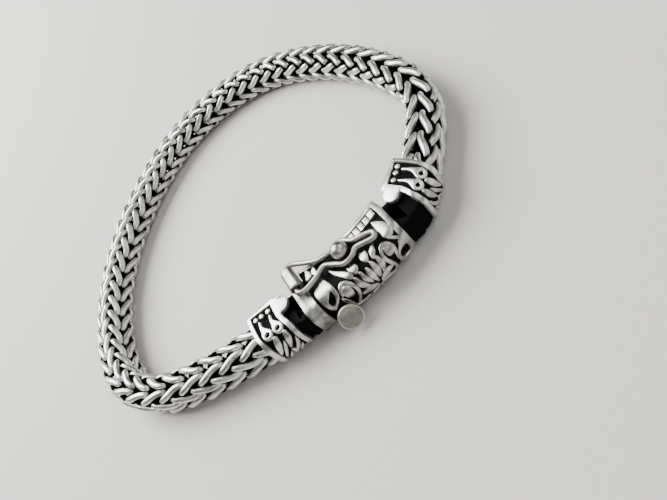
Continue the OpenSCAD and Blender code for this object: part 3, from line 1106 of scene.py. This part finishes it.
    def back(self, total: MeshSum) -> None:
        """Add the plain wrist side, from its border on top to the one below.

        Args:
            total: where it goes.
        """
        x0, x1, border = self.wrist_panel
        xs = np.array([x0, x1, x1, x0])
        s = np.where([True, True, False, False], border, 2 * self.wrap.half_way(xs) - border)
        pts, faces = raised_mesh([np.column_stack([xs, s])], self.relief - 0.03, 0.15, 0.3)
        from_below = 2 * self.wrap.half_way(pts[:, 0]) - pts[:, 1]
        pts[:, 0] = self.lean(pts[:, 0], np.minimum(pts[:, 1], from_below))
        total.add(self.wrap.place(pts), faces, smoothstep(*FLANK, pts[:, 2]))

    def pattern(self, total: MeshSum) -> None:
        """Lay the dots, drops and leaves on the sides.

        Args:
            total: where they go.
        """
        shapes = [[circle_outline(x, s, self.dot_r)] for x, s in self.dots]
        x, s, r = self.drop_eye
        for step in (0.0, self.drop_step):
            shapes.append([rounded_path(self.drop, 3, closed=True) + [step, 0.0],
                           circle_outline(x + step, s, r, 12)])
        shapes += [[stroke_outline(rows)] for rows in self.leaves]
        for outlines in shapes:
            pts, faces = raised_mesh(outlines, self.relief)
            x, s, h = pts.T
            s = s + self.shift * (1 - smoothstep(*self.shift_fades, s))
            shine = smoothstep(*FLANK, h)
            placed = np.stack([self.lean(x, s), s, h], 1)
            total.add(self.wrap.place(placed), faces, shine)
            # All that doesn't run over the middle of the outer side is there below as well
            if s.min() > 0.2 or s.max() > self.shift_fades[0]:
                below = self.wrap.place(placed * [1, -1, 1])
                total.add(below, [f[::-1] for f in faces], shine)


# Clasp

@dataclass
class ClaspBox:
    """The cast box with its raised leaves, ladder and ball."""
    half: float = 3.2
    end: float = 7.85
    relief: float = 0.42
    steps: int = 168

    # Outer and wrist side at the ends, and how far they bow half way
    out: float = 3.65
    bow_out: float = 1.35
    inn: float = 4.25
    bow_in: float = 1.15

    # Columns from the end with the frame: the frame's, then the first and last and number
    # of the body's; how far the shell's walls go in at the two ends
    frame: tuple = (0, 0, 0.04, 0.14, 0.93, 1.05)
    body: tuple = (1.35, 15.3, 28)
    walls: tuple = (1.6, 1.2)

    # The frame's corners at the wrist side: how much is cut off, where on the section that
    # comes in, and from where on along the box
    corner_cut: float = 0.35
    corner_s: tuple = (7.6, 10.0)
    cut_from: float = 5.0

    # The relief's stretch round the outer edges: how much, from where, over what length
    stretch: tuple = (0.35, 0.9, 3.6)

    ball_at: tuple = (-0.60, 0.18)
    ball_d: float = 2.7
    ball_sunk: float = 0.2

    # Drawn strokes come out this much broader, and shapes past this length round the
    # section are repeated below
    broader: float = 1.15
    repeated_from: float = 2.5

    # Raised strokes: rows of x, s and width
    strokes: tuple = (
        ((3.8, -1.0, 0.45), (3.5, 0.3, 0.55), (3.3, 1.4, 0.5), (3.4, 2.4, 0.5), (4.2, 3.15, 0.6),
         (5.0, 2.6, 0.5), (5.25, 1.7, 0.5), (5.0, 0.7, 0.5), (4.75, -0.3, 0.45)),
        ((4.35, 2.3, 1.0), (4.5, 1.7, 1.15)),
        ((5.6, 3.1, 0.35), (6.4, 2.2, 0.42), (7.2, 1.2, 0.42)),
        ((2.25, 3.0, 0.5), (2.7, 3.7, 0.9), (3.3, 4.5, 0.4)),
        ((-3.75, 6.4, 0.4), (-3.3, 5.4, 0.65), (-2.65, 4.5, 0.85), (-2.1, 3.75, 0.95),
         (-1.85, 3.3, 0.8)),
        ((0.5, 2.55, 0.45), (0.45, 1.3, 0.9), (0.5, -0.4, 0.3)),
        ((1.5, 2.75, 0.5), (1.5, 1.4, 0.95), (1.15, 0.1, 0.35)),
        ((2.55, 2.7, 0.5), (2.55, 1.5, 0.9), (2.0, 0.3, 0.4)),
        ((-1.6, 2.6, 0.5), (-1.45, 1.2, 0.95), (-0.75, -0.2, 0.3)),
        ((-0.55, 2.75, 0.45), (-0.5, 1.6, 0.75), (-0.15, 0.3, 0.3)),
        ((1.0, -0.75, 0.35), (2.1, -0.35, 1.0), (3.2, -0.35, 0.5)),
        ((0.9, -1.2, 0.35), (1.8, -1.7, 0.95), (2.9, -2.2, 0.5)),
        ((0.0, -0.75, 0.35), (-1.1, -0.45, 1.0), (-2.3, -0.3, 0.5)),
        ((0.1, -1.2, 0.35), (-0.7, -1.8, 0.95), (-1.6, -2.5, 0.5)),
        ((0.5, -1.5, 0.35), (0.5, -2.5, 0.9), (0.5, -3.4, 0.5)),
        ((-4.5, 1.8, 0.4), (-4.2, 2.7, 0.5), (-3.5, 3.2, 0.6), (-2.75, 2.75, 0.6),
         (-2.35, 1.6, 0.55), (-2.7, 0.2, 0.55), (-3.5, -1.2, 0.4)),
        ((-3.5, 2.2, 1.15), (-3.65, 1.4, 1.3)),
        ((-4.9, 1.4, 0.4), (-4.7, 0.3, 0.7), (-4.4, -0.9, 0.5)),
        ((-4.2, -1.8, 0.4), (-3.0, -2.6, 0.6), (-1.8, -3.2, 0.4)),
        ((2.9, -3.0, 0.5), (3.6, -3.6, 0.9), (4.4, -4.2, 0.4)),
        ((-7.2, 7.3, 0.5), (-6.6, 8.0, 1.0), (-6.5, 8.9, 0.5)),
        ((-5.2, 6.9, 0.5), (-5.6, 7.9, 0.9), (-5.3, 8.8, 0.4)))

    # Raised shapes by their outlines in x and s
    blobs: tuple = (
        ((5.15, 7.15), (5.08, 5.5), (5.05, 3.9), (5.35, 3.3), (6.1, 2.85), (6.8, 3.05),
         (7.05, 3.9), (6.75, 5.2), (6.1, 6.4), (5.55, 7.1)),
        ((1.25, 3.0), (0.75, 3.7), (0.6, 4.4), (0.8, 5.1), (1.2, 5.2), (1.55, 4.85), (2.05, 4.8),
         (2.1, 4.2), (1.8, 3.6), (1.5, 3.1)),
        ((-0.95, 2.95), (-0.35, 3.3), (-0.1, 3.9), (-0.3, 4.6), (-0.7, 4.9), (-1.1, 4.65),
         (-1.6, 4.7), (-1.7, 4.2), (-1.4, 3.4)),
        ((-5.3, 6.0), (-4.85, 5.0), (-4.65, 4.05), (-4.65, 3.0), (-4.95, 2.0), (-6.2, 0.6),
         (-7.0, 0.2), (-7.55, 1.3), (-7.6, 3.2), (-7.4, 4.5), (-6.4, 5.2)),
        ((5.7, 1.0), (6.3, 1.7), (7.1, 1.4), (7.6, 0.6), (7.7, -1.2), (7.3, -2.3), (6.2, -2.7),
         (5.1, -2.3), (4.6, -1.4), (4.65, -0.5), (5.1, 0.3)))

    # Squares of the ladder: their two ends, and its two sides round the section
    ladder: tuple = ((5.5, 6.55), (4.45, 5.4), (3.4, 4.35), (2.35, 3.3), (1.3, 2.25))
    ladder_s: tuple = (7.55, 8.9)

    # Hollow of the last blob, as an oval, and of the one before, by its outline
    oval: tuple = (6.15, -0.7, 0.95, 1.0)
    recess: tuple = ((-5.45, 3.3), (-5.35, 2.5), (-5.55, 2.1), (-6.0, 1.45), (-6.55, 1.1),
                     (-6.75, 1.95), (-6.15, 2.65))

    # Plain wrist side, from the border on top to the one below
    wrist_panel: tuple = ((-7.75, 9.45), (0.0, 9.45), (7.3, 9.4), (7.35, 10.2), (7.35, 16.8),
                          (7.3, 17.4), (0.0, 17.6), (-7.75, 17.3))

    def __post_init__(self) -> None:
        """Set up the section that the shell and the relief are laid on."""
        section = DSection(self.half, inner_round=0.35)
        self.wrap = Wrap(section, clasp_to_part, self.out_at, self.inn_at, self.relief)

    def out_at(self, x: Array) -> Array:
        """Distance of the outer side from the axis: it bows out half way."""
        return self.out + self.bow_out * (1 - (x / self.end) ** 2)

    def inn_at(self, x: Array) -> Array:
        """Distance of the wrist side from the axis: it bows in half way."""
        return self.inn - self.bow_in * (1 - (x / self.end) ** 2)

    def columns(self, s: float) -> Array:
        """Lay out the shell's columns, with the frame's corners cut at the wrist side.

        Args:
            s: length round the section.
        Returns:
            x of the columns, from the end with the frame.
        """
        xs = self.end - np.array([*self.frame, *np.linspace(*self.body), 2 * self.end,
                                  2 * self.end])
        cut = self.corner_cut * smoothstep(*self.corner_s, abs(s))
        return xs - cut * np.clip((xs - self.cut_from) / (self.end - self.cut_from), 0, 1)

    def spread(self, pts: Array) -> Array:
        """Stretch the lengths round the outer edges to the box's full reach.

        Args:
            pts: rows of x, s and height.
        Returns:
            The stretched rows.
        """
        x, s, h = pts.T
        more, start, over = self.stretch
        return np.stack([x, s + more * np.sign(s) * np.clip((abs(s) - start) / over, 0, 1), h], 1)

    def shapes(self) -> list:
        """Draw the outlines of the strokes, the blobs with their hollows and the ladder.

        Returns:
            One list of outlines for each raised shape.
        """
        shapes = [[stroke_outline(np.array(rows) * [1, 1, self.broader])] for rows in self.strokes]
        shapes += [[rounded_path(rows, 4, closed=True)] for rows in self.blobs]
        x, s, rx, rs = self.oval
        shapes[-1].append(circle_outline(0, 0, 1.0, 32) * [rx, rs] + [x, s])
        shapes[-2].append(rounded_path(self.recess, 3, closed=True))
        s0, s1 = self.ladder_s
        shapes += [[np.array([(x0, s0), (x1, s0), (x1, s1), (x0, s1)])] for x0, x1 in self.ladder]
        return shapes

    def build(self) -> None:
        """Model the body, the frame, the raised work and the ball."""
        total = MeshSum()
        frame_wall, plain_wall = self.walls
        ground = [0] * (self.body[2] + 2)
        heights = np.array([-frame_wall, *(self.relief - low for low, _ in RIM_EDGE), *ground,
                            -plain_wall])
        shine = np.array([WALL_SHINE, *(bright for _, bright in RIM_EDGE), *ground[:-1],
                          WALL_SHINE, 0])
        self.wrap.cover(total, self.columns, heights, shine, self.steps)
        for outlines in self.shapes():
            square = len(outlines[0]) == 4
            pts, faces = raised_mesh(outlines, self.relief, 0.1 if square else 0.2)
            shine = smoothstep(*FLANK, pts[:, 2])
            pts = self.spread(pts)
            total.add(self.wrap.place(pts), faces, shine)
            if outlines[0][:, 1].min() > self.repeated_from:
                below = self.wrap.place(pts * [1, -1, 1])
                total.add(below, [f[::-1] for f in faces], shine)
        pts, faces = raised_mesh([np.array(self.wrist_panel)], self.relief, 0.15, 0.3)
        total.add(self.wrap.place(pts), faces, smoothstep(*FLANK, pts[:, 2]))
        self.ball(total)
        declare(total.to_object("clasp_box_cast", Finish.BOX), "bracelet", "ornament",
                "clasp_box")

    def ball(self, total: MeshSum) -> None:
        """Add the ball that the latch passes over, sunk a little into the box's top.

        Args:
            total: where it goes.
        """
        clear_selection()
        bpy.ops.mesh.primitive_uv_sphere_add(segments=32, ring_count=16, radius=self.ball_d / 2)
        pts, faces = take_mesh(bpy.context.object)
        centre = (*self.ball_at, self.half + self.ball_d / 2 - self.ball_sunk)
        total.add(carried(pts, centre, clasp_to_part), faces, smoothstep(-1.0, -0.3, pts[:, 2]))


@dataclass
class Link:
    """Black link between the clasp and a cap, with a knuckle on the pin. It is patinated, and its
    bars fill the gap between the parts with black, painted shade.

    The bar in the clasp runs from the pin, at end, to inward, both along the clasp.
    """
    name: str
    to_part: Callable
    end: float
    inward: float
    half: float = 2.35

    # Round parts: place along and across, radius
    rounds: tuple = ((0.0, 0.0, 2.7), (1.0, 1.6, 1.3))
    round_edge: float = 0.35

    # Bar in the cap and bar in the clasp: edges, and how wide and how far aside the second is
    cap_bar: tuple = (2.75, 4.6, 4.6)
    cap_edge: float = 0.8
    clasp_bar_wide: float = 5.9
    clasp_edge: float = 0.6
    aside: float = -0.25

    # Hardly any black is worn off: patina, and painted shade in the gap
    shine: float = 0.12
    cap_shine: float = 0.1

    def build(self) -> None:
        """Join the round parts, the bar in the cap and the bar in the clasp."""
        total = MeshSum()
        for x, y, radius in self.rounds:
            pts, faces = soft_round(radius, 2 * self.half, self.round_edge)
            total.add(carried(pts, (x, y, 0), self.to_part), faces, self.shine)
        pts, faces = soft_block(self.cap_bar, self.cap_edge)
        total.add(carried(pts, (self.cap_bar[0] / 2, 0, 0), self.to_part), faces, self.cap_shine)
        size = (abs(self.end - self.inward), self.clasp_bar_wide, 2 * self.half)
        pts, faces = soft_block(size, self.clasp_edge)
        middle = ((self.end + self.inward) / 2, self.aside, 0)
        total.add(carried(pts, middle, clasp_to_part), faces, self.shine)
        declare(total.to_object(self.name, Finish.PATINA_AND_SHADE), "bracelet", "hinge")


@dataclass
class TongueBand:
    """Plain worn band at the tongue's end, with the tube of the latch."""
    half: float = 2.95
    outer_round: float = 2.2
    out: float = 4.2
    inn: float = 3.0
    steps: int = 96

    # Across the band: x, height and polish, with a shallow groove hammered into its middle
    ring: tuple = ((-10.3, -1.5, 0.1), (-10.3, -0.2, 0.6), (-10.22, -0.06, 0.9), (-10.05, 0, 1),
                   (-9.4, -0.12, 0.62), (-8.7, -0.14, 0.66), (-8.2, -0.03, 0.95),
                   (-8.05, -0.05, 0.85), (-8.0, -0.15, 0.4), (-8.0, -1.2, 0.0))

    # Latch tube: its end on the clasp, length, radii of the bore, the faces and the outside
    tube_at: tuple = (-8.99, 0.75, 4.05)
    tube_len: float = 3.9
    bore_r: float = 0.51
    face_r: float = 0.78
    tube_r: float = 0.9

    # Over the band the tube is hammered flat: how much wider and how much higher it gets
    wider: float = 0.4
    higher: float = 0.35

    # Saddle that the tube is soldered to: along, up, its middle's height
    saddle: tuple = (1.4, 1.2, 2.8)

    def build(self) -> None:
        """Model the band and the tube."""
        xs, heights, shine = np.array(self.ring).T
        wrap = Wrap(DSection(self.half, self.outer_round), clasp_to_part,
                    lambda x: np.full(np.shape(x), self.out),
                    lambda x: np.full(np.shape(x), self.inn), 0.0)
        total = MeshSum()
        wrap.cover(total, lambda s: xs, heights, shine, self.steps)
        self.tube(total)
        declare(total.to_object("tongue_band", Finish.PLAIN), "bracelet", "tongue", "tongue")

    def tube(self, total: MeshSum) -> None:
        """Add a short open tube along the clasp's width, on a low saddle.

        Args:
            total: where it goes.
        """
        end = [(self.bore_r, 0.0), (self.face_r, 0.0), (self.tube_r - 0.02, 0.1),
               (self.tube_r, 0.3)]
        pts, faces = lathe(end + [(r, self.tube_len - z) for r, z in end[::-1]], 32)
        along, across, up = pts[:, [1, 2, 0]].T
        over = np.clip(along, 0, None)
        raised = np.minimum(up + self.higher * over, self.tube_r)
        pts = np.stack([along + self.wider * over, across, np.where(up > 0, raised, up)], 1)
        total.add(carried(pts, self.tube_at, clasp_to_part), faces, 0.95)
        x, y, _ = self.tube_at
        length, height, middle = self.saddle
        pts, faces = soft_block((length, self.tube_len, height), 0.15)
        centre = (x, y + self.tube_len / 2, middle)
        total.add(carried(pts, centre, clasp_to_part), faces, 0.5)


@dataclass
class SafetyLatch:
    """Figure of eight wire that swings over the ball."""
    wire_d: float = 0.82
    lie: float = 3.75

    # Middle of the wire on the clasp: along, across, up. The last row leads back to the
    # first by the straight rod in the tube
    rows: tuple = (
        (-8.99, 5.15, 4.05), (-8.30, 5.55, 4.02), (-7.20, 5.05, 3.85), (-5.50, 3.50, 3.75),
        (-3.80, 2.20, 3.75), (-2.20, 1.80, 3.75), (-0.70, 2.15, 3.75), (0.70, 1.60, 3.75),
        (1.70, 0.35, 3.75), (3.80, -0.60, 3.75), (4.70, -1.35, 3.75), (4.20, -2.10, 3.75),
        (2.80, -1.60, 3.75), (1.35, -1.10, 3.75), (0.20, -1.75, 3.75), (-1.30, -1.75, 3.75),
        (-2.50, -0.50, 3.75), (-3.80, 0.60, 3.75), (-5.50, 0.10, 3.75), (-7.60, -0.35, 3.85),
        (-8.60, -0.25, 4.02), (-8.99, 0.20, 4.05))

    def build(self) -> None:
        """Bend the wire along its rows and close it."""
        rows = rounded_path(self.rows, 6)
        pts, faces = bent_wire(rows, self.wire_d / 2, np.ones(len(rows)), 5)
        total = MeshSum()
        # Below its middle the wire is painted dark: a painted reflection of dark surroundings
        total.add(carried(pts, (0, 0, 0), clasp_to_part), faces,
                  smoothstep(-0.4, 0.15, pts[:, 2] - self.lie))
        declare(total.to_object("latch_wire", Finish.WIRE), "latch", "latch", "safety_latch")


@dataclass
class PushButton:
    """Flat round button on a stem."""
    at: tuple = (-5.83, -5.95, -0.6)
    tilt: float = 25.0
    disc_d: float = 3.9
    disc_t: float = 0.5

    # From the middle to the edge: distance in from the edge, depth under the rim's top
    dish: tuple = ((0.5, 0.07), (0.28, 0.03), (0.16, 0.0), (0.05, 0.04), (0.0, 0.14))
    face_shine: float = 0.5

    # Stem and pad: radius, where they start and end across; their height on the clasp
    rods: tuple = ((0.55, -5.85, -1.3), (0.9, -1.8, -1.3))
    rod_z: float = -0.9
    rod_shine: float = 0.3

    def build(self) -> None:
        """Turn the dished disc, tilt it, and add the stem and the pad."""
        total = MeshSum()
        r, top = self.disc_d / 2, self.disc_t / 2
        face = [(0, top - self.dish[0][1]), *((r - inset, top - low) for inset, low in self.dish)]
        pts, faces = lathe([(radius, -z) for radius, z in face] + face[::-1])
        # The rim is painted brighter than the face, a painted highlight
        rim = smoothstep(r - 0.28, r - 0.1, np.hypot(pts[:, 0], pts[:, 1]))
        shine = self.face_shine + (1 - self.face_shine) * rim
        turn = Matrix.Rotation(math.radians(90 - self.tilt), 3, "X")
        total.add(carried(pts @ np.array(turn).T, self.at, clasp_to_part), faces, shine)
        for radius, y0, y1 in self.rods:
            clear_selection()
            bpy.ops.mesh.primitive_cylinder_add(vertices=24, radius=radius, depth=y1 - y0,
                                                rotation=(math.pi / 2, 0, 0))
            bpy.ops.object.transform_apply(location=False, rotation=True, scale=False)
            pts, faces = take_mesh(bpy.context.object)
            middle = (self.at[0], (y0 + y1) / 2, self.rod_z)
            total.add(carried(pts, middle, clasp_to_part), faces, self.rod_shine)
        declare(total.to_object("button_disc", Finish.DISC), "button", "button", "push_button")


def dress_pins() -> None:
    """Give the hinge pins, whose CAD shape is right, the black finish of patina and painted shade.
    """
    for node in ("pin_left", "pin_right"):
        for place in frame["nodes"][node].material_slots:
            place.material = material(Finish.PATINA_AND_SHADE)


# Stage, light and camera

@dataclass
class Studio:
    """Pale floor, soft light and the camera at the photo's angle."""
    floor_m: float = 3.0

    # Soft boxes: name, place in metres, width in metres, watts
    lamps: tuple = (("key", (-0.16, 0.28, 0.34), 0.42, 7.2),
                    ("fill", (0.30, -0.10, 0.28), 0.30, 0.6),
                    ("front", (0.03, -0.30, 0.26), 0.30, 0.35))
    room: str = "#c9ccd0"
    room_light: float = 0.22

    # Camera: what it looks at and from how far in mm, tilt down and roll in radians
    look_at: tuple = (5.40, -25.22, 3.4)
    away: float = 97.957 * 5.5 / 6
    tilt: float = 0.78788
    roll: float = 0.87167

    # Focal length and width of the photo in pixels, width of the film in mm
    focal_px: float = 590.246
    photo_px: float = 667
    film_mm: float = 36

    def build(self) -> None:
        """Set the stage, the lamps, the room and the camera."""
        clear_selection()
        bpy.ops.mesh.primitive_plane_add(size=self.floor_m)
        floor = bpy.context.object
        floor.name = "floor"
        floor.data.materials.append(PalePaper().build())
        for name, at, size, power in self.lamps:
            bpy.ops.object.light_add(type="AREA", location=at)
            lamp = bpy.context.object
            lamp.name = name
            lamp.data.size = size
            lamp.data.energy = power
            lamp.rotation_euler = (-Vector(at)).to_track_quat("-Z", "Y").to_euler()
        world = bpy.data.worlds.new("soft_room")
        bpy.context.scene.world = world
        world.use_nodes = True
        back = world.node_tree.nodes["Background"]
        back.inputs["Color"].default_value = linear(self.room)
        back.inputs["Strength"].default_value = self.room_light
        self.camera()

    def camera(self) -> None:
        """Put the camera above and in front of the clasp, turned like the photo."""
        ahead = Vector((0, math.cos(self.tilt), -math.sin(self.tilt)))
        right = Vector((1, 0, 0))
        up = Vector((0, math.sin(self.tilt), math.cos(self.tilt)))
        x_axis = math.cos(self.roll) * right - math.sin(self.roll) * up
        y_axis = math.sin(self.roll) * right + math.cos(self.roll) * up
        place = (Vector(self.look_at) - self.away * ahead) * MM
        data = bpy.data.cameras.new("camera")
        data.lens = self.focal_px * self.film_mm / self.photo_px
        data.sensor_width = self.film_mm
        data.clip_start = 0.001
        cam = bpy.data.objects.new("camera", data)
        turn = Matrix((x_axis, y_axis, -ahead)).transposed().to_4x4()
        cam.matrix_world = Matrix.Translation(place) @ turn
        bpy.context.scene.collection.objects.link(cam)
        bpy.context.scene.camera = cam


def main() -> None:
    """Build every piece, the stage and the camera."""
    logging.basicConfig(level=logging.INFO)
    pieces = (Chain(),
              EndCap("right", right_cap_to_part, skew=0.25, shift=-0.3),
              EndCap("left", left_cap_to_part, skew=-0.25, shift=0.3),
              ClaspBox(),
              Link("link_right", right_cap_to_part, RIGHT_END, 7.4),
              Link("link_left", left_cap_to_part, LEFT_END, -9.8),
              TongueBand(), SafetyLatch(), PushButton())
    for piece in pieces:
        piece.build()
    dress_pins()
    Studio().build()


if __name__ == "__main__":
    main()
